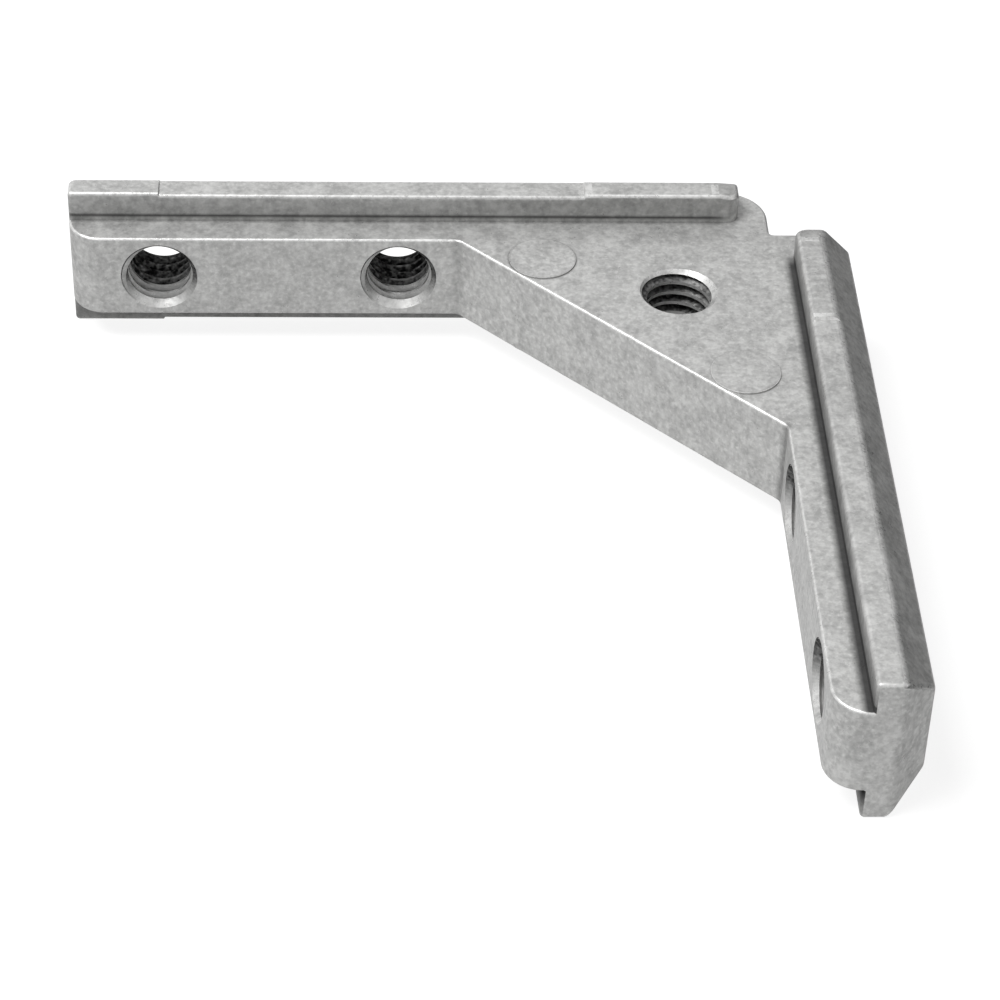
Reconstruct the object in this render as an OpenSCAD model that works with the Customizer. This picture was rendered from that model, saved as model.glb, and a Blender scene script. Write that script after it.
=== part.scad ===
// Cast inner corner bracket: two equal legs at a right angle, joined by a triangular web.
// Each leg slides into the slot of a 20 mm aluminium profile and is held there by two set screws.
// The inner faces meet at the origin, on the middle plane of the web. The legs run along -X and -Y.

/* [Legs] */
// Length of each leg, from the inner corner to its free end
leg_length = 46; // [42:1:80]
// Depth of each leg, from its inner face to its outer face
leg_depth = 6; // [5.6:0.1:8]
// Radius of the inner corner at each free end, seen from above
end_corner_radius = 2.2; // [0.5:0.1:2.8]
// Chamfer of the outer corner at each free end, seen from above
end_chamfer = 2; // [0.5:0.1:2.2]

/* [Neck] */
// Thickness of the neck and of the web, a sliding fit in the slot's mouth
neck_thickness = 6.1; // [5.6:0.1:8]
// Height of the neck, from the inner face to the wings
neck_height = 2.2; // [1.2:0.1:3]
// Length by which the neck runs past the inner corner, on both sides of the notch
notch_overrun = 0.9; // [0.3:0.1:2]
// Radius of the neck's outer corner on each side of the notch
notch_corner_radius = 3; // [1:0.1:3]

/* [Wings] */
// Width across both wings, which catch behind the slot's lips
wing_width = 10.4; // [8.5:0.1:14]
// Width of the flat land along each wing
land_width = 1.7; // [0.6:0.1:2.2]
// Width of the outer face, between the two bevels
outer_face_width = 6.2; // [5.6:0.1:8]
// Distance from the inner corner to the start of the wings
wing_start = 1.1; // [0.5:0.1:4]
// Radius of each wing's corner beside the web, seen from above
wing_corner_radius = 0.9; // [0.2:0.1:1.5]
// Radius along the top edge of each wing's two ends
wing_edge_radius = 0.6; // [0.2:0.1:1]

/* [Web] */
// Length of the web along each inner face
web_length = 20; // [17:1:24]

/* [Threaded holes] */
// Diameter of the thread, here M5
thread_diameter = 5; // [4:0.5:5]
// Pitch of the thread
thread_pitch = 0.8; // [0.7:0.05:0.8]
// Width that the chamfer at each mouth adds to the thread's diameter
mouth_margin = 0.1; // [0.1:0.1:0.5]
// Distance from the web's end to the first hole in a leg
hole_to_web = 4; // [3.5:0.5:6]
// Distance from the second hole to the leg's free end
hole_to_end = 6; // [5:0.5:8]
// Distance from each inner face to the hole through the web
web_hole = 5.7; // [4.5:0.1:6]

/* [Casting marks] */
// Diameter of the low round pads that the ejector pins leave on both faces of the web
pin_pad_diameter = 4.5; // [2:0.1:5]
// Height of the pads
pin_pad_height = 0.1; // [0.05:0.01:0.3]
// Distance of each pad from the web's end, along the leg beside it
pin_pad_to_tip = 5.5; // [5:0.1:8]
// Distance of each pad from that leg's inner face
pin_pad_across = 2.1; // [0:0.1:2.5]
// Step down in each land where the mould insert lies
insert_step = 0.15; // [0.05:0.01:0.3]
// Distance from the inner corner to the start of the insert, which ends at the second hole
insert_start = 11.5; // [8:0.5:20]

/* [Hidden] */
$fn = 96;
half_neck = neck_thickness / 2;
half_wing = wing_width / 2;
half_outer = outer_face_width / 2;
land_end = neck_height + land_width;
tap_diameter = thread_diameter - thread_pitch;
mouth_diameter = thread_diameter + mouth_margin;
chamfer_depth = (mouth_diameter - tap_diameter) / 2;
first_hole = web_length + hole_to_web;
second_hole = leg_length - hole_to_end;
cut_margin = 1;
cast_metal = [0.70, 0.70, 0.69];

// What a round of radius r takes off a corner at the origin, of a plan that lies to +X and +Y of it
module corner_waste(r) {
    difference() {
        translate([-cut_margin, -cut_margin])
            square(r + cut_margin);
        translate([r, r])
            circle(r);
    }
}

// What a chamfer of width c takes off a corner at the origin, of a plan that lies to +X and -Y of it
module chamfer_waste(c) {
    polygon([
        [-cut_margin, -c - cut_margin],
        [c + cut_margin, cut_margin],
        [-cut_margin, cut_margin]
    ]);
}

// Plan of one leg: its free end, round inside and chamfered outside, and its rounded corner beside the notch
module leg_plan() {
    difference() {
        translate([-leg_length, 0])
            square([leg_length + notch_overrun, leg_depth]);
        translate([-leg_length, 0])
            corner_waste(end_corner_radius);
        translate([-leg_length, leg_depth])
            chamfer_waste(end_chamfer);
        translate([notch_overrun, leg_depth])
            rotate(180)
                corner_waste(notch_corner_radius);
    }
}

// Plan of one leg's wings, which start short of the inner corner
module wing_plan() {
    intersection() {
        leg_plan();
        difference() {
            translate([-leg_length, neck_height])
                square([leg_length - wing_start, leg_depth]);
            translate([-wing_start, neck_height])
                mirror([1, 0])
                    corner_waste(wing_corner_radius);
        }
    }
}

// Section across one leg behind its neck, with the depth along X and the width along Y
module wing_section() {
    polygon([
        [neck_height, -half_wing],
        [land_end, -half_wing],
        [leg_depth, -half_outer],
        [leg_depth, half_outer],
        [land_end, half_wing],
        [neck_height, half_wing]
    ]);
}

// Side view of the wings, with their top edges rounded at both ends and the inserts' step in their lands
module wing_side() {
    difference() {
        translate([-leg_length, -half_wing])
            square([leg_length - wing_start, wing_width]);
        for (side = [0, 1])
            mirror([0, side]) {
                translate([-leg_length, -half_wing])
                    corner_waste(wing_edge_radius);
                translate([-wing_start, -half_wing])
                    mirror([1, 0])
                        corner_waste(wing_edge_radius);
                translate([-second_hole, half_wing - insert_step])
                    square([second_hole - insert_start, insert_step + cut_margin]);
            }
    }
}

// Both wings of one leg: what their plan, their section and their side view have in common
module leg_wings() {
    intersection() {
        translate([0, 0, -half_wing])
            linear_extrude(wing_width)
                wing_plan();
        translate([-leg_length, 0, 0])
            rotate([90, 0, 90])
                linear_extrude(leg_length - wing_start)
                    wing_section();
        translate([0, leg_depth, 0])
            rotate([90, 0, 0])
                linear_extrude(leg_depth)
                    wing_side();
    }
}

// One plan or solid along each of the two legs
module on_both_legs() {
    children();
    mirror([1, -1, 0])
        children();
}

// Plan of the neck of both legs and of the web between them
module neck_plan() {
    on_both_legs()
        leg_plan();
    polygon([[0, 0], [-web_length, 0], [0, -web_length]]);
}

// Low round pads beside the web's long edge
module pin_pads() {
    intersection() {
        on_both_legs()
            translate([pin_pad_to_tip - web_length, -pin_pad_across, -half_neck - pin_pad_height])
                cylinder(d = pin_pad_diameter, h = neck_thickness + 2 * pin_pad_height);
        translate([0, 0, -half_wing])
            linear_extrude(wing_width)
                neck_plan();
    }
}

// Tapped hole through a wall of the given thickness, along +Z from the origin, with a chamfer at each mouth
module tapped_hole(wall) {
    translate([0, 0, -cut_margin])
        cylinder(d = tap_diameter, h = wall + 2 * cut_margin);
    for (mouth = [0, 1])
        translate([0, 0, mouth * wall])
            mirror([0, 0, mouth])
                translate([0, 0, -cut_margin])
                    cylinder(
                        d1 = mouth_diameter + 2 * cut_margin,
                        d2 = tap_diameter,
                        h = chamfer_depth + cut_margin
                    );
}

// The two holes through one leg, from its inner face to its outer face
module leg_holes() {
    for (place = [first_hole, second_hole])
        translate([-place, 0, 0])
            rotate([-90, 0, 0])
                tapped_hole(leg_depth);
}

// The whole bracket, cast in one piece
module bracket() {
    color(cast_metal)
        difference() {
            union() {
                translate([0, 0, -half_neck])
                    linear_extrude(neck_thickness)
                        neck_plan();
                on_both_legs()
                    leg_wings();
                pin_pads();
            }
            on_both_legs()
                leg_holes();
            translate([-web_hole, -web_hole, -half_neck])
                tapped_hole(neck_thickness);
        }
}

bracket();
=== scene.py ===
"""Looks of a cast inner corner bracket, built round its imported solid.

The bracket is one casting, so it is one piece: a plate (the necks of both legs and the web between them),
a block of wings along each leg, low pads from the mould, and five tapped holes with their real threads. It
is modelled in millimetres with the modelling operators, and brought to metres when it is finished.
"""

import logging
import math
from contextlib import contextmanager
from dataclasses import dataclass
from enum import Enum
from typing import Any, Callable, Iterator, Sequence

import bmesh
import bpy
from mathutils import Matrix, Vector


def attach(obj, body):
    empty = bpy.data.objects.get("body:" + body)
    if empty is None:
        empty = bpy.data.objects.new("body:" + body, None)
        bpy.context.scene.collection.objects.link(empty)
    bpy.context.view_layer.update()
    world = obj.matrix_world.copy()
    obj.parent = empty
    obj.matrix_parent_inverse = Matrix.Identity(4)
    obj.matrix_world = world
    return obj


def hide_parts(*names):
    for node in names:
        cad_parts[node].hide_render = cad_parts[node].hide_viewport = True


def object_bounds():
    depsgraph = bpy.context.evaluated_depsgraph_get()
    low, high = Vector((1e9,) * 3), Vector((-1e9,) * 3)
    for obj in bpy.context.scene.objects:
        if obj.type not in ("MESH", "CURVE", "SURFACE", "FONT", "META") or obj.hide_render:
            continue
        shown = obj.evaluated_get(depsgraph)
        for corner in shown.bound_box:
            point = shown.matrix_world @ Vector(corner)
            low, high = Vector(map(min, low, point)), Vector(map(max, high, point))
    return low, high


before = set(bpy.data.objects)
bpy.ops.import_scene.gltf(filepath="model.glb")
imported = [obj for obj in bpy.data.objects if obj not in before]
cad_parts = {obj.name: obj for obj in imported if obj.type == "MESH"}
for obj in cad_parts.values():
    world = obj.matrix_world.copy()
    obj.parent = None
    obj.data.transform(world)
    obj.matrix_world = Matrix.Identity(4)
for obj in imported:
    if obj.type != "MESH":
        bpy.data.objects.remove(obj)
cad_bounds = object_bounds()

logging.basicConfig(level=logging.INFO, format="%(message)s")
log = logging.getLogger("bracket")

MM = 0.001
NEAR = 0.001
NOISE_ROUGHNESS = 0.6
# Face attribute for brighter metal: real rubbing from tumbling on the rounds, and a painted highlight on
# the rounds, the lands' ridges, the thread crests and the upturned chamfers.
WEAR_AND_HIGHLIGHT_ATTRIBUTE = "worn"
# The second face attribute holds the painted shade inside the tapped holes.
SHADE_ATTRIBUTE = "dull"

Stops = Sequence[tuple[float, float]]


class Element(Enum):
    """What edit mode selects."""

    CORNER = "VERT"
    EDGE = "EDGE"
    FACE = "FACE"


class Combine(Enum):
    """How one workpiece acts on another."""

    JOIN = "UNION"
    CUT = "DIFFERENCE"


@dataclass(frozen=True)
class BracketSizes:
    """Sizes of the casting in millimetres, from the inner corner, where the two inner faces meet."""

    leg_length: float
    leg_depth: float
    wing_width: float
    neck_thickness: float = 6.1
    neck_height: float = 2.2
    notch_overrun: float = 0.9
    end_corner_radius: float = 2.2
    end_chamfer: float = 2.0
    notch_corner_radius: float = 3.0
    land_width: float = 1.7
    outer_face_width: float = 6.2
    wing_start: float = 1.1
    wing_corner_radius: float = 0.9
    web_length: float = 20.0
    thread_diameter: float = 5.0
    tap_diameter: float = 4.2
    thread_pitch: float = 0.8
    mouth_diameter: float = 5.1
    hole_to_web: float = 4.0
    hole_to_end: float = 6.0
    web_hole: float = 5.7
    pad_diameter: float = 4.5
    pad_height: float = 0.1
    pad_to_tip: float = 5.5
    pad_across: float = 2.1
    insert_step: float = 0.15
    insert_start: float = 11.5
    ramp_length: float = 1.4
    ridge_width: float = 0.5

    @classmethod
    def from_bounds(cls, lowest: Vector, highest: Vector) -> "BracketSizes":
        """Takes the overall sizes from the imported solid.

        Args:
            lowest: The solid's lowest corner, in metres.
            highest: The solid's highest corner, in metres.

        Returns:
            The sizes of the casting in millimetres.
        """
        return cls(
            leg_length=-lowest.x / MM,
            leg_depth=highest.x / MM,
            wing_width=(highest.z - lowest.z) / MM,
        )

    @property
    def half_neck(self) -> float:
        """Height of the plate's upper face."""
        return self.neck_thickness / 2

    @property
    def half_wing(self) -> float:
        """Height of the lands."""
        return self.wing_width / 2

    @property
    def land_end(self) -> float:
        """Distance from the inner face to the far edge of the land."""
        return self.neck_height + self.land_width

    @property
    def first_hole(self) -> float:
        """Distance from the inner corner to a leg's first hole."""
        return self.web_length + self.hole_to_web

    @property
    def second_hole(self) -> float:
        """Distance from the inner corner to a leg's second hole."""
        return self.leg_length - self.hole_to_end


class Workpiece:
    """One mesh on the bench, shaped with the modelling operators in millimetres."""

    def __init__(self, piece: bpy.types.Object, name: str) -> None:
        """Takes over an object that was just added.

        Args:
            piece: The mesh object.
            name: The name that it gets.
        """
        self.piece = piece
        piece.name = name
        piece.data.name = name

    @classmethod
    def from_outline(cls, name: str, points: Sequence[Vector]) -> "Workpiece":
        """Draws a flat face by extruding one corner of a plane round the face's outline.

        Args:
            name: Name of the new workpiece.
            points: The outline's corners, in order.

        Returns:
            A workpiece that holds the one face.
        """
        bpy.ops.object.select_all(action="DESELECT")
        bpy.ops.mesh.primitive_plane_add(size=1.0)
        drawn = cls(bpy.context.object, name)
        with drawn.edit_mode(Element.CORNER):
            bpy.ops.mesh.select_all(action="SELECT")
            bpy.ops.mesh.merge(type="CENTER")
            bpy.ops.transform.translate(value=points[0])
            for here, there in zip(points, points[1:]):
                bpy.ops.mesh.extrude_region_move(TRANSFORM_OT_translate={"value": there - here})
            bpy.ops.mesh.select_all(action="SELECT")
            bpy.ops.mesh.edge_face_add()
        return drawn

    def focus(self) -> None:
        """Makes this the only selected object and the active one."""
        bpy.ops.object.select_all(action="DESELECT")
        self.piece.select_set(True)
        bpy.context.view_layer.objects.active = self.piece

    @contextmanager
    def edit_mode(self, element: Element) -> Iterator[None]:
        """Opens edit mode with nothing selected, and closes it afterwards.

        Args:
            element: What is selected in it.

        Returns:
            A context in which the mesh operators act on this workpiece.
        """
        self.focus()
        bpy.ops.object.mode_set(mode="EDIT")
        bpy.ops.mesh.select_mode(type=element.value)
        bpy.ops.mesh.select_all(action="DESELECT")
        yield
        bpy.ops.object.mode_set(mode="OBJECT")

    def select_corners(self, test: Callable[[Vector], bool]) -> None:
        """Selects corners in edit mode by their place.

        Args:
            test: Says of a place whether its corner is selected.
        """
        mesh = bmesh.from_edit_mesh(self.piece.data)
        for corner in mesh.verts:
            corner.select_set(test(corner.co))
        mesh.select_flush_mode()
        bmesh.update_edit_mesh(self.piece.data)

    def select_edges(self, test: Callable[[Vector, Vector], bool]) -> None:
        """Selects edges in edit mode by the places of their ends.

        Args:
            test: Says of two ends whether their edge is selected.
        """
        mesh = bmesh.from_edit_mesh(self.piece.data)
        for edge in mesh.edges:
            edge.select_set(test(edge.verts[0].co, edge.verts[1].co))
        bmesh.update_edit_mesh(self.piece.data)

    def select_caps(self) -> None:
        """Selects the faces that close a screwed mesh at its ends, which have more than four sides."""
        sides_of_quad = 4
        mesh = bmesh.from_edit_mesh(self.piece.data)
        for face in mesh.faces:
            face.select_set(len(face.verts) > sides_of_quad)
        bmesh.update_edit_mesh(self.piece.data)

    def round_corners(self, places: Sequence[Vector], radius: float, steps: int) -> None:
        """Rounds corners of a flat outline.

        Args:
            places: The corners' places.
            radius: Radius of the rounds.
            steps: Number of facets on each.
        """
        with self.edit_mode(Element.CORNER):
            self.select_corners(lambda corner: any((corner - place).length < NEAR for place in places))
            bpy.ops.mesh.bevel(offset=radius, segments=steps, affect="VERTICES", clamp_overlap=False)
            self.merge_doubles()

    def extrude(self, step: Vector) -> None:
        """Extrudes the flat outline to a closed solid.

        Args:
            step: The way and distance that it is extruded.
        """
        with self.edit_mode(Element.FACE):
            bpy.ops.mesh.select_all(action="SELECT")
            bpy.ops.mesh.extrude_region_move(TRANSFORM_OT_translate={"value": step})
            bpy.ops.mesh.select_all(action="SELECT")
            bpy.ops.mesh.normals_make_consistent(inside=False)

    def slice_off(self, place: Vector, normal: Vector) -> None:
        """Cuts off and closes what lies in front of a plane.

        Args:
            place: A point of the plane.
            normal: The plane's normal, which points to what is cut off.
        """
        with self.edit_mode(Element.FACE):
            bpy.ops.mesh.select_all(action="SELECT")
            bpy.ops.mesh.bisect(plane_co=place, plane_no=normal, use_fill=True, clear_outer=True)

    def score(self, place: Vector, normal: Vector) -> None:
        """Cuts new edges where a plane crosses the mesh, and takes nothing off.

        Args:
            place: A point of the plane.
            normal: The plane's normal.
        """
        with self.edit_mode(Element.FACE):
            bpy.ops.mesh.select_all(action="SELECT")
            bpy.ops.mesh.bisect(plane_co=place, plane_no=normal)

    def round_sharp_edges(self, sharper_than: float, radius: float, steps: int) -> None:
        """Rounds every edge that turns more sharply than an angle.

        Args:
            sharper_than: The angle in degrees.
            radius: Radius of the rounds.
            steps: Number of facets across each.
        """
        with self.edit_mode(Element.EDGE):
            bpy.ops.mesh.edges_select_sharp(sharpness=math.radians(sharper_than))
            bpy.ops.mesh.bevel(offset=radius, segments=steps, affect="EDGES", clamp_overlap=False)
            self.merge_doubles()

    def merge_doubles(self) -> None:
        """Merges corners that fell on each other, in edit mode."""
        bpy.ops.mesh.select_all(action="SELECT")
        bpy.ops.mesh.remove_doubles(threshold=NEAR)

    def combine(self, other: "Workpiece", how: Combine) -> None:
        """Joins another workpiece to this one or cuts it away, and uses the other up.

        Args:
            other: The other workpiece.
            how: What is done with it.
        """
        modifier = self.piece.modifiers.new(how.name.lower(), "BOOLEAN")
        modifier.operation = how.value
        modifier.solver = "EXACT"
        modifier.object = other.piece
        self.focus()
        bpy.ops.object.modifier_apply(modifier=modifier.name)
        bpy.data.meshes.remove(other.piece.data)

    def place_by(self, matrix: Matrix) -> None:
        """Moves or turns the workpiece, with its place kept in its mesh.

        Args:
            matrix: The move or turn.
        """
        self.piece.matrix_world = matrix
        self.focus()
        bpy.ops.object.transform_apply(location=True, rotation=True, scale=True)

    def mirrored_copy(self, name: str) -> "Workpiece":
        """Copies the workpiece from the leg along X to the leg along Y, mirrored.

        Args:
            name: Name of the copy.

        Returns:
            The copy, with its own mesh and with its faces outwards.
        """
        self.focus()
        bpy.ops.object.duplicate(linked=False)
        copy = Workpiece(bpy.context.object, name)
        swap = Matrix(((0, 1, 0, 0), (1, 0, 0, 0), (0, 0, 1, 0), (0, 0, 0, 1)))
        copy.place_by(swap)
        with copy.edit_mode(Element.FACE):
            bpy.ops.mesh.select_all(action="SELECT")
            bpy.ops.mesh.normals_make_consistent(inside=False)
        return copy


@dataclass
class Plate:
    """The necks of both legs and the web between them, in one plate that fits the slot's mouth."""

    sizes: BracketSizes
    sunk: float = 0.02
    clearance: float = 0.3
    sharp_angle: float = 60
    edge_radius: float = 0.2
    inner_fillet: float = 0.3
    arc_steps: int = 16
    edge_steps: int = 4

    def build(self) -> Workpiece:
        """Models the plate.

        Returns:
            The plate, with its outer side and its free ends a little inside the wings' blocks.
        """
        s = self.sizes
        outer = s.leg_depth - self.sunk
        end = s.leg_length - self.sunk
        low = -s.half_neck
        outline = [
            Vector((-end, 0, low)),
            Vector((-end, outer, low)),
            Vector((s.notch_overrun, outer, low)),
            Vector((s.notch_overrun, s.notch_overrun, low)),
            Vector((outer, s.notch_overrun, low)),
            Vector((outer, -end, low)),
            Vector((0, -end, low)),
            Vector((0, -s.web_length, low)),
            Vector((-s.web_length, 0, low)),
        ]
        plate = Workpiece.from_outline("plate", outline)
        plate.round_corners([outline[0], outline[6]], s.end_corner_radius, self.arc_steps)
        plate.round_corners([outline[1], outline[5]], s.end_chamfer + self.clearance, 1)
        plate.round_corners([outline[2], outline[4]], s.notch_corner_radius, self.arc_steps)
        plate.round_corners([outline[3], *outline[7:]], self.inner_fillet, self.edge_steps)
        plate.extrude(Vector((0, 0, s.neck_thickness)))
        plate.round_sharp_edges(self.sharp_angle, self.edge_radius, self.edge_steps)
        return plate


@dataclass
class WingBlock:
    """Both wings of one leg, in one block that passes through the plate."""

    sizes: BracketSizes
    sharp_angle: float = 25
    edge_radius: float = 0.28
    corner_steps: int = 8
    edge_steps: int = 4
    step_slope: float = 0.08
    lip_height: float = 0.05
    lip_length: float = 2.6
    ramp_drop: float = 0.2

    def build(self) -> Workpiece:
        """Models the wings of the leg along X.

        Returns:
            The block, with rounded edges and with the mould insert's step in its lands.
        """
        s = self.sizes
        start = Vector((-s.wing_start, 0, -s.half_wing))
        outline = [
            start,
            Vector((-s.wing_start, s.leg_depth, -s.half_wing)),
            Vector((-s.leg_length, s.leg_depth, -s.half_wing)),
            Vector((-s.leg_length, 0, -s.half_wing)),
        ]
        block = Workpiece.from_outline("wing_block", outline)
        block.round_corners([outline[2]], s.leg_depth - s.land_end, 1)
        block.extrude(Vector((0, 0, s.wing_width)))
        block.slice_off(Vector((0, s.neck_height, 0)), Vector((0, -1, 0)))
        self._slice_bevels(block)
        self._round_start_corner(block)
        self._slice_ramps(block)
        block.round_sharp_edges(self.sharp_angle, self.edge_radius, self.edge_steps)
        self._sink_lands(block)
        return block

    def _slice_bevels(self, block: Workpiece) -> None:
        """Cuts the long bevel between each land and the outer face.

        Args:
            block: The block, in millimetres.
        """
        s = self.sizes
        rise = s.half_wing - s.outer_face_width / 2
        run = s.leg_depth - s.land_end
        for side in (-1, 1):
            place = Vector((0, s.land_end, side * s.half_wing))
            block.slice_off(place, Vector((0, rise, side * run)))

    def _slice_ramps(self, block: Workpiece) -> None:
        """Cuts the slight ramp that leads onto each land at its start.

        Args:
            block: The block, in millimetres.
        """
        s = self.sizes
        for side in (-1, 1):
            place = Vector((-s.wing_start - s.ramp_length, 0, side * s.half_wing))
            block.slice_off(place, Vector((self.ramp_drop, 0, side * s.ramp_length)))

    def _round_start_corner(self, block: Workpiece) -> None:
        """Rounds the upright edge beside the web, where the wings start.

        Args:
            block: The block, in millimetres.
        """
        s = self.sizes
        corner = Vector((-s.wing_start, s.neck_height))
        with block.edit_mode(Element.EDGE):
            block.select_edges(
                lambda a, b: (a.xy - corner).length < NEAR and (b.xy - corner).length < NEAR
            )
            bpy.ops.mesh.bevel(
                offset=s.wing_corner_radius, segments=self.corner_steps, clamp_overlap=False
            )

    def _sink_lands(self, block: Workpiece) -> None:
        """Lowers the middle stretch of both lands, and raises the lip beside it.

        Args:
            block: The block, in millimetres.
        """
        s = self.sizes
        ends = (-s.second_hole, -s.insert_start)
        scores = [
            ends[0],
            ends[0] + self.step_slope,
            ends[1] - self.step_slope,
            ends[1],
            ends[1] + s.ridge_width,
            ends[1] + self.lip_length,
            -s.wing_start - s.ramp_length - s.ridge_width,
        ]
        for x in scores:
            block.score(Vector((x, 0, 0)), Vector((1, 0, 0)))
        rim = s.half_wing - self.edge_radius - NEAR
        stretch = (ends[0] + self.step_slope / 2, ends[1] - self.step_slope / 2)
        middle = (s.neck_height + s.land_end) / 2
        drop = s.insert_step
        outward = drop * (s.leg_depth - s.land_end) / (s.half_wing - s.outer_face_width / 2)
        for side in (-1, 1):
            with block.edit_mode(Element.CORNER):
                block.select_corners(lambda v: stretch[0] < v.x < stretch[1] and v.z * side > rim)
                bpy.ops.transform.translate(value=(0, 0, -side * drop))
                block.select_corners(
                    lambda v: stretch[0] < v.x < stretch[1] and v.z * side > rim - drop and v.y > middle
                )
                bpy.ops.transform.translate(value=(0, outward, 0))
                block.select_corners(
                    lambda v: abs(v.x - ends[1]) < NEAR and v.z * side > s.half_wing - NEAR
                )
                bpy.ops.transform.translate(value=(0, 0, side * self.lip_height))


@dataclass
class PinPads:
    """The low round pads that the mould leaves on both faces of the web."""

    sizes: BracketSizes
    sharp_angle: float = 60
    rim_radius: float = 0.06
    rim_steps: int = 2
    sides: int = 64

    def build(self) -> Workpiece:
        """Models the pad beside the leg along X.

        Returns:
            A disc that stands proud of both faces of the plate.
        """
        s = self.sizes
        bpy.ops.object.select_all(action="DESELECT")
        bpy.ops.mesh.primitive_cylinder_add(
            vertices=self.sides,
            radius=s.pad_diameter / 2,
            depth=s.neck_thickness + 2 * s.pad_height,
            location=(s.pad_to_tip - s.web_length, -s.pad_across, 0),
        )
        pad = Workpiece(bpy.context.object, "pin_pad")
        pad.place_by(pad.piece.matrix_world.copy())
        pad.round_sharp_edges(self.sharp_angle, self.rim_radius, self.rim_steps)
        return pad


@dataclass
class TappedHole:
    """A tapped hole through a wall, with a chamfer at each mouth."""

    sizes: BracketSizes
    wall: float
    place: Vector
    along: Vector
    margin_turns: int = 2
    turn_steps: int = 64
    crest_share: float = 0.30
    flank_share: float = 0.29
    root_share: float = 0.12
    cone_sides: int = 72
    cone_overlap: float = 0.35
    cone_past_mouth: float = 1.0
    turned: float = 0.0
    # Painted shade inside the hole: none down to light_to, full from deep_from, fading out again before the
    # far mouth.
    light_to: float = 1.6
    deep_from: float = 3.0
    light_at_far_mouth: float = 0.8
    deep_shade: float = 0.97
    root_shade: float = 0.35
    root_gain: float = 1.8
    # Painted highlight on the thread crests and upturned chamfers, and painted shade on chamfers that face
    # sideways or down.
    crest_highlight: float = 0.8
    chamfer_highlight: float = 0.7
    chamfer_shade: float = 0.9
    chamfer_gain: float = 1.6
    chamfer_slope: float = math.sqrt(0.5)
    slope_margin: float = 0.03
    mouth_margin: float = 0.01

    def cut(self, casting: Workpiece) -> None:
        """Cuts the hole through the casting.

        Args:
            casting: What is tapped.
        """
        turn = Vector((0, 0, 1)).rotation_difference(self.along).to_matrix().to_4x4()
        spin = Matrix.Rotation(math.radians(self.turned), 4, "Z")
        seat = Matrix.Translation(self.place) @ turn @ spin
        cutters = [self._thread(), self._chamfer(0, 1), self._chamfer(self.wall, -1)]
        for cutter in cutters:
            cutter.place_by(seat @ cutter.piece.matrix_world)
            casting.combine(cutter, Combine.CUT)

    def _thread(self) -> Workpiece:
        """Models the tap: one thread's profile, screwed up through the wall.

        Returns:
            A closed solid along Z, longer than the wall at both ends.
        """
        s = self.sizes
        pitch = s.thread_pitch
        crest, root = s.tap_diameter / 2, s.thread_diameter / 2
        shares = [0, self.crest_share, self.flank_share, self.root_share]
        radii = [crest, crest, root, root, crest]
        start = -self.margin_turns * pitch
        heights = [start + pitch * sum(shares[: step + 1]) for step in range(len(shares))]
        heights.append(start + pitch)
        profile = [Vector((radius, 0, height)) for radius, height in zip(radii, heights)]
        tap = Workpiece.from_outline("tap", profile)
        with tap.edit_mode(Element.FACE):
            bpy.ops.mesh.select_all(action="SELECT")
            bpy.ops.mesh.delete(type="ONLY_FACE")
        with tap.edit_mode(Element.EDGE):
            tap.select_edges(lambda a, b: abs(a.z - b.z) > pitch - NEAR)
            bpy.ops.mesh.delete(type="EDGE")
        screw = tap.piece.modifiers.new("screw", "SCREW")
        screw.axis = "Z"
        screw.angle = math.tau
        screw.screw_offset = pitch
        screw.iterations = math.ceil(self.wall / pitch) + 2 * self.margin_turns
        screw.steps = self.turn_steps
        screw.render_steps = self.turn_steps
        screw.use_merge_vertices = True
        screw.merge_threshold = NEAR
        tap.focus()
        bpy.ops.object.modifier_apply(modifier=screw.name)
        with tap.edit_mode(Element.EDGE):
            tap.merge_doubles()
            bpy.ops.mesh.select_all(action="DESELECT")
            bpy.ops.mesh.select_non_manifold()
            bpy.ops.mesh.fill_holes(sides=0)
            bpy.ops.mesh.select_mode(type=Element.FACE.value)
            tap.select_caps()
            bpy.ops.mesh.poke()
            bpy.ops.mesh.select_all(action="SELECT")
            bpy.ops.mesh.normals_make_consistent(inside=False)
        return tap

    def marks(self, corners: Sequence[Vector], normal: Vector) -> tuple[float, float]:
        """Says how much painted highlight and painted shade a face of the hole gets: painted shade in the
        thread's root and deep inside, and a painted highlight on the rest.

        A chamfer gets a painted highlight where it looks up, and painted shade where it doesn't. It is
        known by its slope, because the thread's groove cuts it in pieces.

        Args:
            corners: The face's corners, in millimetres.
            normal: The face's normal.

        Returns:
            How much painted highlight and how much painted shade the face gets, from 0 to 1, and 0 for both
            if it is outside the hole.
        """
        s = self.sizes
        crest, root, mouth = s.tap_diameter / 2, s.thread_diameter / 2, s.mouth_diameter / 2
        reaches = [(corner - self.place).cross(self.along).length for corner in corners]
        if max(reaches) > mouth + self.mouth_margin:
            return 0.0, 0.0
        # An upturned chamfer face gets a painted highlight, and a sideways or downturned one gets painted
        # shade.
        if abs(abs(normal.dot(self.along)) - self.chamfer_slope) < self.slope_margin:
            shade = max(0.0, 1 - self.chamfer_gain * max(0.0, normal.z))
            return self.chamfer_highlight * (1 - shade), self.chamfer_shade * shade
        depth = sum((corner - self.place).dot(self.along) for corner in corners) / len(corners)
        deep = (depth - self.light_to) / (self.deep_from - self.light_to)
        inside = max(0.0, min(1.0, deep, (self.wall - depth) / self.light_at_far_mouth))
        reach = max(0.0, sum(reaches) / len(reaches) - crest)
        in_root = min(1.0, self.root_gain * reach / (root - crest))
        dull = min(1.0, self.deep_shade * inside + self.root_shade * in_root)
        return self.crest_highlight * (1 - dull), dull

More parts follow.
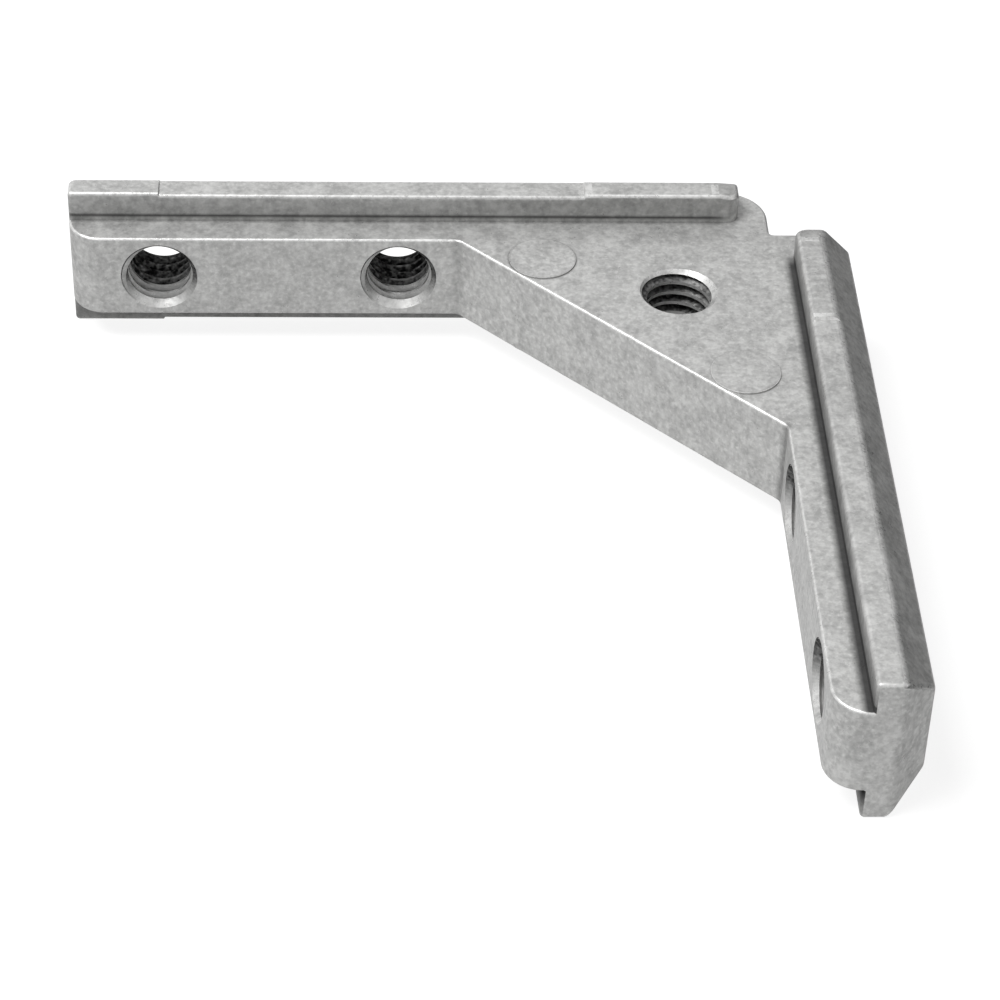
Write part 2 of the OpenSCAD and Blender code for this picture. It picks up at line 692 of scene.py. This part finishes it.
    def _chamfer(self, height: float, side: int) -> Workpiece:
        """Models the cutter of one mouth's chamfer.

        Args:
            height: Where the mouth is along the hole.
            side: 1 at the lower mouth and -1 at the upper one.

        Returns:
            A cone that reaches past the mouth.
        """
        s = self.sizes
        past = self.cone_past_mouth
        mouth, narrow = s.mouth_diameter / 2, s.tap_diameter / 2 - self.cone_overlap
        wide, depth = mouth + past, mouth - narrow
        bpy.ops.object.select_all(action="DESELECT")
        bpy.ops.mesh.primitive_cone_add(
            vertices=self.cone_sides,
            radius1=wide if side > 0 else narrow,
            radius2=narrow if side > 0 else wide,
            depth=depth + past,
            location=(0, 0, height + side * (depth - past) / 2),
        )
        return Workpiece(bpy.context.object, "chamfer")


class Value:
    """A number that varies over a surface, with Python's operators."""

    def __init__(self, tree: "ShaderTree", socket: bpy.types.NodeSocket) -> None:
        """Wraps a socket.

        Args:
            tree: The tree that the socket is in.
            socket: The output that gives the number.
        """
        self.tree = tree
        self.socket = socket

    def _math(self, operation: str, first: "Value | float", second: "Value | float") -> "Value":
        """Adds a Math node and returns its result.

        Args:
            operation: What the node works out.
            first: The first number.
            second: The second number.

        Returns:
            The result.
        """
        node = self.tree.node("ShaderNodeMath", {"operation": operation}, {0: first, 1: second})
        return Value(self.tree, node.outputs[0])

    def __add__(self, other: "Value | float") -> "Value":
        """Returns the sum."""
        return self._math("ADD", self, other)

    def __radd__(self, other: float) -> "Value":
        """Returns the sum."""
        return self._math("ADD", other, self)

    def __sub__(self, other: "Value | float") -> "Value":
        """Returns the difference."""
        return self._math("SUBTRACT", self, other)

    def __rsub__(self, other: float) -> "Value":
        """Returns the difference from a number."""
        return self._math("SUBTRACT", other, self)

    def __mul__(self, other: "Value | float") -> "Value":
        """Returns the product."""
        return self._math("MULTIPLY", self, other)

    def __rmul__(self, other: float) -> "Value":
        """Returns the product."""
        return self._math("MULTIPLY", other, self)

    def __pow__(self, other: "Value | float") -> "Value":
        """Returns the power."""
        return self._math("POWER", self, other)

    def __abs__(self) -> "Value":
        """Returns the size of the number, without its sign."""
        return self._math("ABSOLUTE", self, 0.0)

    def larger(self, other: "Value | float") -> "Value":
        """Returns the larger of the two."""
        return self._math("MAXIMUM", self, other)

    def smaller(self, other: "Value | float") -> "Value":
        """Returns the smaller of the two."""
        return self._math("MINIMUM", self, other)

    def below(self, other: "Value | float") -> "Value":
        """Returns 1 where the number is below the other, and 0 elsewhere."""
        return self._math("LESS_THAN", self, other)


class ShaderTree:
    """The node tree of a material or of the world."""

    def __init__(self, tree: bpy.types.NodeTree) -> None:
        """Empties a tree.

        Args:
            tree: The tree to build in.
        """
        self.tree = tree
        tree.nodes.clear()

    def node(self, kind: str, settings: dict[str, Any], sockets: dict[int | str, Any]) -> bpy.types.Node:
        """Adds one node.

        Args:
            kind: The node's type.
            settings: The node's own settings, which are set first.
            sockets: A value, a Value or an output for each input named.

        Returns:
            The node.
        """
        node = self.tree.nodes.new(kind)
        for name, setting in settings.items():
            if name == "stops":
                self._set_stops(node, setting)
            else:
                setattr(node, name, setting)
        for key, given in sockets.items():
            source = given.socket if isinstance(given, Value) else given
            if isinstance(source, bpy.types.NodeSocket):
                self.tree.links.new(source, node.inputs[key])
            else:
                node.inputs[key].default_value = source
        return node

    def _set_stops(self, node: bpy.types.Node, stops: Stops) -> None:
        """Sets a colour ramp's grey stops.

        Args:
            node: The ramp.
            stops: Pairs of a place and its grey.
        """
        elements = node.color_ramp.elements
        while len(elements) < len(stops):
            elements.new(1.0)
        for element, (place, grey) in zip(elements, stops):
            element.position = place
            element.color = (grey, grey, grey, 1)

    def value(
        self,
        kind: str,
        settings: dict[str, Any],
        sockets: dict[int | str, Any],
        output: int | str = 0,
    ) -> Value:
        """Adds one node and returns one of its outputs as a number.

        Args:
            kind: The node's type.
            settings: The node's own settings.
            sockets: A value or link for each input named.
            output: Which output is returned.

        Returns:
            The output.
        """
        return Value(self, self.node(kind, settings, sockets).outputs[output])

    def noise(self, place: bpy.types.NodeSocket, size: float, detail: float) -> Value:
        """Adds a noise pattern whose spots are about a size across.

        Args:
            place: The coordinates that it reads, in metres.
            size: The size of its spots in millimetres.
            detail: Its number of finer octaves.

        Returns:
            The pattern, from 0 to 1.
        """
        sockets = {
            "Vector": place,
            "Scale": 1 / (size * MM),
            "Detail": detail,
            "Roughness": NOISE_ROUGHNESS,
        }
        return self.value("ShaderNodeTexNoise", {}, sockets)

    def ramp(self, number: Value, stops: Stops) -> Value:
        """Bends a number through the stops of a ramp.

        Args:
            number: What goes in.
            stops: Pairs of what goes in and what comes out.

        Returns:
            What comes out.
        """
        return self.value("ShaderNodeValToRGB", {"stops": stops}, {0: number})

    def mix(self, share: Value | float, first: Any, second: Any) -> bpy.types.NodeSocket:
        """Mixes two colours.

        Args:
            share: How much of the second colour there is.
            first: The first colour.
            second: The second colour.

        Returns:
            The mixed colour's socket.
        """
        node = self.node("ShaderNodeMix", {"data_type": "RGBA"}, {0: share, 6: first, 7: second})
        return node.outputs[2]


@dataclass(frozen=True)
class CastZinc:
    """Tumbled cast zinc: finely grained, rubbed bright on its edges with a painted highlight there too, and
    with painted shade in its creases, along its walls and in its holes.
    """

    sizes: BracketSizes
    dark: tuple[float, float, float] = (0.40, 0.40, 0.395)
    light: tuple[float, float, float] = (0.66, 0.66, 0.65)
    # Colour of the rubbed edges, which also serves as their painted highlight.
    wear_and_highlight_colour: tuple[float, float, float] = (0.80, 0.80, 0.79)
    # A near-black diffuse colour that is mixed over the metal as painted shade.
    painted_shade_colour: tuple[float, float, float] = (0.04, 0.04, 0.04)
    metal: float = 0.5
    specular: float = 0.2
    grazing_shade: tuple[float, float, float] = (0.5, 0.5, 0.5)
    roughness: float = 0.44
    roughness_swing: float = 0.2
    wear_and_highlight_share: float = 0.6
    least_wear_and_highlight: float = 0.35
    painted_shade_share: float = 0.9
    # Painted shade in the crease where the wings' walls meet the necks, and on the walls, for the X leg and
    # the Y leg.
    crease_across: tuple[float, float] = (0.25, 0.75)
    crease_up: tuple[float, float] = (0.3, 0.6)
    crease_height: tuple[float, float] = (0.42, 0.15)
    crease_gain: tuple[float, float] = (1.0, 1.7)
    wall_share: tuple[float, float] = (0.32, 0.75)
    wall_fade: tuple[float, float] = (12, 1.5)
    # Extra painted shadow of the neck on the walls below the plate.
    lower_wall_share: float = 0.35
    crease_run_in: float = 1.6
    step_margin: float = 0.03
    # Painted shade in the corner at each of the web's tips, where the slanted edge meets the inner face.
    tip_crease_width: float = 0.5
    tip_crease_share: tuple[float, float] = (0.3, 0.65)
    patch_size: float = 0.3
    patch_stops: Stops = ((0.35, 0), (0.6, 1))
    least_patch: float = 0.5
    # A ring of painted shade round each pad's rim.
    pad_ring_width: float = 0.14
    pad_ring_share: tuple[float, float] = (0.45, 0.2)
    grain_size: float = 0.4
    grain_share: float = 0.6
    mottle_size: float = 1.8
    tone_stops: Stops = ((0.36, 0), (0.64, 1))
    glint_size: float = 0.28
    glint_stops: Stops = ((0.55, 0), (0.70, 1))
    glint_tone: float = 0.3
    glint_polish: float = 0.15
    wear_and_highlight_polish: float = 0.06
    bump_depth: float = 0.022
    bump_strength: float = 0.8

    def material(self) -> bpy.types.Material:
        """Builds the finish.

        Returns:
            The material.
        """
        made = bpy.data.materials.new("cast_zinc")
        made.use_nodes = True
        tree = ShaderTree(made.node_tree)
        place = tree.node("ShaderNodeTexCoord", {}, {}).outputs["Object"]
        grain = tree.noise(place, self.grain_size, 3)
        mottle = tree.noise(place, self.mottle_size, 3)
        glint = tree.ramp(tree.noise(place, self.glint_size, 1), self.glint_stops)
        # Rubbed, bright edges: partly real tumbling, partly a painted highlight.
        worn = tree.value("ShaderNodeAttribute", {"attribute_name": WEAR_AND_HIGHLIGHT_ATTRIBUTE}, {}, "Fac")
        both_grains = self.grain_share * grain + (1 - self.grain_share) * mottle
        tone = tree.ramp(both_grains, self.tone_stops) + self.glint_tone * glint
        colour = tree.mix(tone, (*self.dark, 1), (*self.light, 1))
        spots = tree.ramp(tree.noise(place, self.patch_size, 2), self.patch_stops)
        wear_and_highlight_amount = self.wear_and_highlight_share * worn * (self.least_wear_and_highlight + spots)
        colour = tree.mix(wear_and_highlight_amount, colour, (*self.wear_and_highlight_colour, 1))
        polish = self.glint_polish * glint + self.wear_and_highlight_polish * worn
        rough = self.roughness + self.roughness_swing * (mottle - 0.5) - polish
        bump = tree.node(
            "ShaderNodeBump",
            {},
            {"Height": grain, "Distance": self.bump_depth * MM, "Strength": self.bump_strength},
        )
        shader = tree.node(
            "ShaderNodeBsdfPrincipled",
            {},
            {
                "Base Color": colour,
                "Metallic": self.metal,
                "Specular IOR Level": self.specular,
                "Specular Tint": (*self.grazing_shade, 1),
                "Roughness": rough,
                "Normal": bump.outputs[0],
            },
        )
        # Painted shade: this diffuse stands in for shade where the metal would still mirror light.
        dull = tree.node("ShaderNodeBsdfDiffuse", {}, {"Color": (*self.painted_shade_colour, 1)})
        both = tree.node(
            "ShaderNodeMixShader",
            {},
            {0: self.painted_shade_share * self._painted_shade_mask(tree, place), 1: shader.outputs[0], 2: dull.outputs[0]},
        )
        tree.node("ShaderNodeOutputMaterial", {}, {"Surface": both.outputs[0]})
        return made

    def _painted_shade_mask(self, tree: ShaderTree, place: bpy.types.NodeSocket) -> Value:
        """Returns the painted shade: in the holes, the creases, along the wings' walls, the web's tips, and
        round the pads.

        Args:
            tree: The material's tree.
            place: The object coordinates, in metres.

        Returns:
            From 0 where no shade is painted to 1 where it is fully painted.
        """
        s = self.sizes
        parts = tree.node("ShaderNodeSeparateXYZ", {}, {0: place})
        x, y, z = (Value(tree, parts.outputs[axis]) * (1 / MM) for axis in range(3))
        up = abs(z) - s.half_neck
        wall_up = up.larger(0) * (1 / (s.half_wing - s.half_neck))
        on_step = 1 - up.below(-self.step_margin)
        # Painted shade from the holes' faces, made patchy by noise.
        patches = self.least_patch + tree.noise(place, self.patch_size, 1)
        marked = tree.value("ShaderNodeAttribute", {"attribute_name": SHADE_ATTRIBUTE}, {}, "Fac")
        shade_mask = marked * patches
        for leg, (across, along) in enumerate(((y, x), (x, y))):
            # Painted shade in the crease between each wing's wall and the neck.
            side = (across - s.neck_height) * (1 / self.crease_across[leg])
            lift = (up - self.crease_height[leg]) * (1 / self.crease_up[leg])
            crease = self.crease_gain[leg] * (1 - (lift * lift + side * side) ** 0.5).larger(0)
            # Painted shade on the wing's inner wall, fading towards the land.
            wall = (1 - wall_up ** self.wall_fade[leg] - side * side).larger(0)
            # The walls below the plate get more: a painted shadow of the neck.
            wall_share = self.wall_share[leg] + self.lower_wall_share * z.below(0)
            run_in = (-s.wing_start - along) * (1 / self.crease_run_in)
            past_end = along.below(self.step_margin - s.leg_length)
            beside_wings = run_in.larger(0).smaller(1) * on_step * (1 - past_end)
            # Painted shade in the corner at the web's tip.
            tip = self._ring(along + s.web_length, across, 0, self.tip_crease_width)
            # Ring of painted shade round the pad's rim.
            ring = self._ring(
                along + (s.web_length - s.pad_to_tip),
                across + s.pad_across,
                s.pad_diameter / 2,
                self.pad_ring_width,
            )
            shade_mask = shade_mask.larger(crease.smaller(1).larger(wall_share * wall) * beside_wings)
            shade_mask = shade_mask.larger(self.tip_crease_share[leg] * tip)
            shade_mask = shade_mask.larger(self.pad_ring_share[leg] * ring)
        return shade_mask

    def _ring(self, along: Value, across: Value, radius: float, width: float) -> Value:
        """Returns a soft ring, or a soft spot where its radius is 0.

        Args:
            along: The distance from the ring's centre along the leg, in millimetres.
            across: The distance from the ring's centre across the leg, in millimetres.
            radius: The ring's radius in millimetres.
            width: The distance in millimetres over which it fades on both sides.

        Returns:
            From 1 on the ring to 0 away from it.
        """
        reach = (along * along + across * across) ** 0.5
        return (1 - abs(reach - radius) * (1 / width)).larger(0)


@dataclass
class BracketCasting:
    """The whole bracket: one casting with its five tapped holes."""

    sizes: BracketSizes
    finish: CastZinc
    smooth_angle: float = 32.0
    # Painted highlight on the lands' ridges, beside the ramps and beside the insert's step.
    ridge_highlight: float = 1.6
    round_lift: tuple[float, float] = (0.2, 0.98)
    bevel_margin: float = 0.02
    # Edges beside the Y leg's wings that turn this far towards -X get no painted highlight.
    unhighlit_turn: float = 0.1

    def build(self) -> bpy.types.Object:
        """Models and dresses the casting, and puts it in the place of its solid.

        Returns:
            The finished piece.
        """
        casting = Plate(self.sizes).build()
        self._join_on_both_legs(casting, WingBlock(self.sizes).build())
        self._join_on_both_legs(casting, PinPads(self.sizes).build())
        for hole in self._holes():
            hole.cut(casting)
        self._bring_to_size(casting)
        self._mark_wear_highlight_and_shade(casting.piece)
        casting.piece.name = "bracket_casting"
        casting.piece.data.materials.clear()
        casting.piece.data.materials.append(self.finish.material())
        return casting.piece

    def _join_on_both_legs(self, casting: Workpiece, part: Workpiece) -> None:
        """Joins a part of the leg along X to the casting, and its mirror image too.

        Args:
            casting: What it is joined to.
            part: The part, which is used up.
        """
        casting.combine(part.mirrored_copy("mirrored"), Combine.JOIN)
        casting.combine(part, Combine.JOIN)

    def _holes(self) -> Iterator[TappedHole]:
        """Lists the tapped holes.

        Returns:
            Two through each leg, and the one through the web.
        """
        s = self.sizes
        for along in (s.first_hole, s.second_hole):
            yield TappedHole(s, s.leg_depth, Vector((-along, 0, 0)), Vector((0, 1, 0)))
            yield TappedHole(s, s.leg_depth, Vector((0, -along, 0)), Vector((1, 0, 0)))
        place = Vector((-s.web_hole, -s.web_hole, s.half_neck))
        down = Vector((0, 0, -1))
        yield TappedHole(
            s, s.neck_thickness, place, down, turned=47.3, deep_shade=0.3, root_shade=1.0
        )

    def _bring_to_size(self, casting: Workpiece) -> None:
        """Brings the mesh from millimetres to metres, and shades its rounds smoothly.

        Args:
            casting: The finished mesh, in millimetres.
        """
        with casting.edit_mode(Element.CORNER):
            casting.merge_doubles()
            bpy.ops.mesh.dissolve_degenerate(threshold=NEAR / 10)
        casting.place_by(Matrix.Scale(MM, 4))
        casting.focus()
        bpy.ops.object.shade_smooth_by_angle(angle=math.radians(self.smooth_angle))
        weighted = casting.piece.modifiers.new("even_shading", "WEIGHTED_NORMAL")
        weighted.keep_sharp = True
        bpy.ops.object.modifier_apply(modifier=weighted.name)

    def _mark_wear_highlight_and_shade(self, piece: bpy.types.Object) -> None:
        """Marks each face for its rubbed, bright metal with its painted highlight, and for its painted
        shade.

        Args:
            piece: The finished mesh, in metres.
        """
        holes = list(self._holes())
        corners = [corner.co / MM for corner in piece.data.vertices]
        wear_and_highlight_marks = piece.data.attributes.new(WEAR_AND_HIGHLIGHT_ATTRIBUTE, "FLOAT", "FACE")
        shade_marks = piece.data.attributes.new(SHADE_ATTRIBUTE, "FLOAT", "FACE")
        mouth = self.sizes.mouth_diameter / 2 + NEAR
        for face, worn, dull in zip(piece.data.polygons, wear_and_highlight_marks.data, shade_marks.data):
            centre = face.center / MM
            around = [hole for hole in holes if (centre - hole.place).cross(hole.along).length < mouth]
            if around:
                places = [corners[number] for number in face.vertices]
                worn.value, dull.value = around[0].marks(places, face.normal)
            else:
                worn.value = self._edge_wear_and_highlight(centre, face.normal)

    def _edge_wear_and_highlight(self, place: Vector, normal: Vector) -> float:
        """Says how much rubbing and painted highlight a place outside the holes gets: on the rounds, and
        more on the lands' ridges, where it is painted highlight.

        A round is neither level nor upright, and not a bevel. The wings' inner edges along the Y leg get no
        painted highlight, and keep the plain metal's colour.

        Args:
            place: The middle of a face, in millimetres.
            normal: The face's normal.

        Returns:
            0 for plain metal, 1 on a round, where real rubbing and a painted highlight meet, and more on a
            ridge.
        """
        s = self.sizes
        if self._on_ridge(place):
            return self.ridge_highlight
        rise = s.half_wing - s.outer_face_width / 2
        run = s.leg_depth - s.land_end
        lift = abs(normal.z)
        on_bevel = abs(lift - run / math.hypot(rise, run)) < self.bevel_margin
        unhighlit = normal.x < -self.unhighlit_turn and place.x > s.neck_height - NEAR
        on_round = self.round_lift[0] < lift < self.round_lift[1]
        return float(on_round and not (on_bevel or unhighlit))

    def _on_ridge(self, place: Vector) -> bool:
        """Says whether a place is on a land's ridge, beside its ramp or beside its step.

        Args:
            place: The middle of a face, in millimetres.

        Returns:
            Whether it is.
        """
        s = self.sizes
        if abs(place.z) < s.half_wing - NEAR:
            return False
        heads = (-s.wing_start - s.ramp_length, -s.insert_start + s.ridge_width)
        return any(head - s.ridge_width < along < head for along in place.xy for head in heads)


@dataclass(frozen=True)
class Lamp:
    """One soft studio lamp."""

    name: str
    place: tuple[float, float, float]
    size: float
    power: float

    def build(self, target: Vector) -> None:
        """Hangs the lamp.

        Args:
            target: What it points at.
        """
        data = bpy.data.lights.new(self.name, "AREA")
        data.shape = "SQUARE"
        data.size = self.size
        data.energy = self.power
        lamp = bpy.data.objects.new(self.name, data)
        lamp.location = self.place
        lamp.rotation_euler = (target - Vector(self.place)).to_track_quat("-Z", "Y").to_euler()
        bpy.context.scene.collection.objects.link(lamp)


@dataclass(frozen=True)
class Card:
    """A flat card beside the object."""

    name: str
    place: tuple[float, float, float]
    facing: tuple[float, float, float]
    width: float
    height: float

    def build(self) -> bpy.types.Object:
        """Sets up the card, so that only mirroring surfaces see it.

        Returns:
            The card.
        """
        bpy.ops.object.select_all(action="DESELECT")
        bpy.ops.mesh.primitive_plane_add(size=1.0, location=self.place)
        card = bpy.context.object
        card.name = self.name
        card.scale = (self.width, self.height, 1)
        card.rotation_euler = Vector(self.facing).to_track_quat("Z", "Y").to_euler()
        bpy.ops.object.transform_apply(location=True, rotation=True, scale=True)
        card.visible_camera = False
        card.visible_diffuse = False
        card.visible_shadow = False
        return card


@dataclass
class Studio:
    """A white floor, a soft lamp, dark cards, and a camera where the photograph was taken from."""

    floor_height: float
    floor_radius: float = 1.2
    floor_sides: int = 96
    floor_grey: float = 0.3
    floor_glow: float = 0.86
    world_grey: float = 0.12
    card_grey: float = 0.02
    camera_place: tuple[float, float, float] = (-0.0258, -0.1749, 0.1242)
    camera_aim: tuple[float, float, float] = (-0.01788, -0.02352, 0.0)
    camera_roll: float = 1.946
    camera_lens: float = 114.65
    sensor: float = 36.0
    clip: tuple[float, float] = (0.01, 10)
    cards: tuple[Card, ...] = (
        Card("upright_card", (0.125, 0.12, 0.06), (-0.7, -0.7, 0.0), 0.30, 0.13),
        Card("flat_card", (0.142, 0.03, -0.0045), (0.0, 0.0, 1.0), 0.24, 0.26),
    )
    lamps: tuple[Lamp, ...] = (
        Lamp("key", (-0.44, -0.101, 0.86), 0.5, 8.7),
    )

    def build(self) -> None:
        """Sets the whole studio up."""
        self._floor()
        self._world()
        target = Vector(self.camera_aim)
        for lamp in self.lamps:
            lamp.build(target)
            log.info("lamp %s", lamp.name)
        self._cards()
        self._camera()
        bpy.context.scene.view_settings.view_transform = "Standard"

    def _background_rays(self, tree: ShaderTree) -> Value:
        """Returns 1 for rays that show the background, and 0 for those that light the object.

        Args:
            tree: The tree that reads it.

        Returns:
            The mask.
        """
        path = tree.node("ShaderNodeLightPath", {}, {})
        seen = Value(tree, path.outputs["Is Camera Ray"])
        mirrored = Value(tree, path.outputs["Is Glossy Ray"])
        through = Value(tree, path.outputs["Is Transmission Ray"])
        return seen.larger(mirrored).larger(through)

    def _floor(self) -> None:
        """Lays the floor, which looks white and keeps the object's shadow."""
        bpy.ops.object.select_all(action="DESELECT")
        bpy.ops.mesh.primitive_circle_add(
            vertices=self.floor_sides,
            radius=self.floor_radius,
            fill_type="NGON",
            location=(0, 0, self.floor_height),
        )
        floor = bpy.context.object
        floor.name = "floor"
        bpy.ops.object.transform_apply(location=True, rotation=True, scale=True)
        material = bpy.data.materials.new("floor_white")
        material.use_nodes = True
        tree = ShaderTree(material.node_tree)
        grey = (self.floor_grey, self.floor_grey, self.floor_grey, 1)
        lit = tree.node("ShaderNodeBsdfDiffuse", {}, {"Color": grey})
        glow = tree.node(
            "ShaderNodeEmission", {}, {"Strength": self.floor_glow * self._background_rays(tree)}
        )
        both = tree.node("ShaderNodeAddShader", {}, {0: lit.outputs[0], 1: glow.outputs[0]})
        tree.node("ShaderNodeOutputMaterial", {}, {"Surface": both.outputs[0]})
        floor.data.materials.append(material)
        log.info("floor at %.4f m", self.floor_height)

    def _world(self) -> None:
        """Surrounds the object with an even grey that looks white."""
        world = bpy.data.worlds.new("studio")
        bpy.context.scene.world = world
        world.use_nodes = True
        tree = ShaderTree(world.node_tree)
        rays = self._background_rays(tree)
        strength = self.world_grey + (1 - self.world_grey) * rays
        background = tree.node("ShaderNodeBackground", {}, {"Color": (1, 1, 1, 1), "Strength": strength})
        tree.node("ShaderNodeOutputWorld", {}, {"Surface": background.outputs[0]})

    def _cards(self) -> None:
        """Sets dark cards at the object's right, one upright and one flat, which only the metal mirrors."""
        material = bpy.data.materials.new("card_black")
        material.use_nodes = True
        tree = ShaderTree(material.node_tree)
        grey = (self.card_grey, self.card_grey, self.card_grey, 1)
        black = tree.node("ShaderNodeBsdfDiffuse", {}, {"Color": grey})
        tree.node("ShaderNodeOutputMaterial", {}, {"Surface": black.outputs[0]})
        for card in self.cards:
            made = card.build()
            made.data.materials.append(material)

    def _camera(self) -> None:
        """Puts the camera where the photograph was taken from, turned to the bracket."""
        data = bpy.data.cameras.new("camera")
        data.sensor_width = self.sensor
        data.lens = self.camera_lens
        data.clip_start, data.clip_end = self.clip
        camera = bpy.data.objects.new("camera", data)
        camera.location = self.camera_place
        look = (Vector(self.camera_aim) - camera.location).to_track_quat("-Z", "Y").to_matrix()
        roll = Matrix.Rotation(math.radians(self.camera_roll), 3, "Z")
        camera.rotation_euler = (look @ roll).to_euler()
        bpy.context.scene.collection.objects.link(camera)
        bpy.context.scene.camera = camera


def main() -> None:
    """Builds the studio and the bracket, and says what it built."""
    lowest, highest = cad_bounds
    Studio(floor_height=lowest.z).build()
    sizes = BracketSizes.from_bounds(lowest, highest)
    casting = BracketCasting(sizes, CastZinc(sizes)).build()
    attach(casting, "root")
    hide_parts("bracket")
    triangles = sum(len(face.vertices) - 2 for face in casting.data.polygons)
    log.info("%s: %d triangles", casting.name, triangles)


if __name__ == "__main__":
    main()
